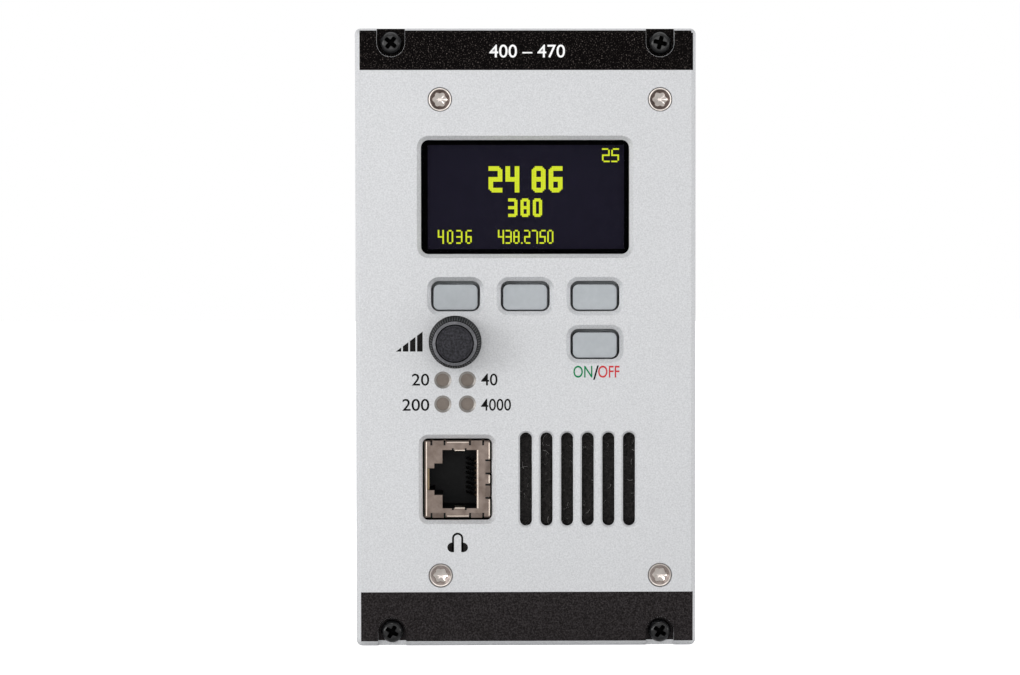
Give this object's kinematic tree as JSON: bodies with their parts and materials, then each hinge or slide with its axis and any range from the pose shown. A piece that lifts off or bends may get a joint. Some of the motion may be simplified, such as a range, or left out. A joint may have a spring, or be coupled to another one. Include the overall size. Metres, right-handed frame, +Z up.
{
  "type": "rack receiver module",
  "caption": "Plug-in radio receiver module for a subrack: flat bevelled front panel with display, keys, volume knob, lamps, plug socket and speaker grille, on a vented sheet cassette.",
  "frame": {"origin": "centre of the front panel's rear face, which seats on the subrack's rails", "axes": "+X to the right as seen from the front, +Y into the rack, +Z up"},
  "size_m": [0.0708, 0.205, 0.1284],
  "materials": {
    "panel_aluminium": "bead-blasted, natural anodised, black bands at top and bottom",
    "black_steel": "black passivated steel",
    "bright_steel": "bright zinc-plated steel",
    "window_glass": "clear window with a black printed border",
    "display_face": "dark display with yellow-green figures",
    "key_plastic": "satin grey",
    "knob_plastic": "matte dark grey, ribbed grip",
    "lamp_lens": "smoky translucent lens",
    "lamp_chip": "moulded lamp chip",
    "tinned_shield": "tinned sheet",
    "black_plastic": "moulded black",
    "gold_contact": "gold-plated or bare brass",
    "speaker_felt": "black felt",
    "zinc_sheet": "pressed zinc-plated sheet",
    "magnet": "ferrite and steel",
    "cone_film": "formed film",
    "cast_zinc": "die-cast zinc",
    "circuit_board": "green solder mask",
    "ribbon_grey": "grey flat cable",
    "cassette_aluminium": "chromated sheet aluminium",
    "capacitor_sleeve": "shrunk sleeve",
    "nickel": "nickel plated",
    "white_insulator": "white insulator",
    "lead_sheath": "black sheath"
  },
  "bodies": {
    "module": {"front_panel": "panel_aluminium", "panel_screws": "black_steel", "chassis_screws": "bright_steel", "display_window": "window_glass", "display_glass": "display_face", "display_carrier": "circuit_board", "display_header": "black_plastic", "display_spacers": "black_plastic", "key_switches": "black_plastic", "encoder_body": "cast_zinc", "light_pipes": "lamp_lens", "lamp_chips": "lamp_chip", "jack_shield": "tinned_shield", "jack_housing": "black_plastic", "jack_contacts": "gold_contact", "speaker_cloth": "speaker_felt", "speaker_basket": "zinc_sheet", "speaker_magnet": "magnet", "front_board": "circuit_board", "front_board_spacers": "bright_steel", "board_screws": "bright_steel", "ribbon_headers": "black_plastic", "ribbon_cable": "ribbon_grey", "front_bars": "cassette_aluminium", "rear_bars": "cassette_aluminium", "left_side_plate": "cassette_aluminium", "right_side_plate": "cassette_aluminium", "top_cover": "cassette_aluminium", "bottom_cover": "cassette_aluminium", "frame_screws": "bright_steel", "rear_panel": "cassette_aluminium", "rear_screws": "bright_steel", "receiver_board": "circuit_board", "receiver_shield": "tinned_shield", "power_board": "circuit_board", "power_transformer": "magnet", "power_capacitors": "capacitor_sleeve", "board_spacers": "bright_steel", "antenna_connector": "nickel", "antenna_insulator": "white_insulator", "antenna_contact": "gold_contact", "antenna_lead": "lead_sheath", "mains_inlet": "black_plastic", "mains_pins": "nickel", "mains_leads": "lead_sheath", "data_shell": "tinned_shield", "data_insert": "black_plastic", "data_jack_screws": "nickel", "earth_stud": "gold_contact"},
    "left_key": {"soft_key_left": "key_plastic", "soft_key_left_plunger": "black_plastic"},
    "middle_key": {"soft_key_middle": "key_plastic", "soft_key_middle_plunger": "black_plastic"},
    "right_key": {"soft_key_right": "key_plastic", "soft_key_right_plunger": "black_plastic"},
    "power_button": {"power_key": "key_plastic", "power_key_plunger": "black_plastic"},
    "knob": {"volume_knob": "knob_plastic", "encoder_shaft": "bright_steel"},
    "cone": {"speaker_cone": "cone_film"}
  },
  "joints": [
    {"name": "left_key_press", "type": "slide", "parent": "module", "child": "left_key", "axis": [0, 1, 0], "range_m": [0, 0.0007], "stiffness_N_per_m": 1500},
    {"name": "middle_key_press", "type": "slide", "parent": "module", "child": "middle_key", "axis": [0, 1, 0], "range_m": [0, 0.0007], "stiffness_N_per_m": 1500},
    {"name": "right_key_press", "type": "slide", "parent": "module", "child": "right_key", "axis": [0, 1, 0], "range_m": [0, 0.0007], "stiffness_N_per_m": 1500},
    {"name": "power_press", "type": "slide", "parent": "module", "child": "power_button", "axis": [0, 1, 0], "range_m": [0, 0.0007], "stiffness_N_per_m": 1500},
    {"name": "volume_turn", "type": "hinge", "parent": "module", "child": "knob", "pos_m": [-0.0147, -0.004, -0.00082], "axis": [0, 1, 0], "continuous": true},
    {"name": "cone_stroke", "type": "slide", "parent": "module", "child": "cone", "axis": [0, 1, 0], "range_m": [-0.0004, 0.0004], "stiffness_N_per_m": 2000}
  ]
}
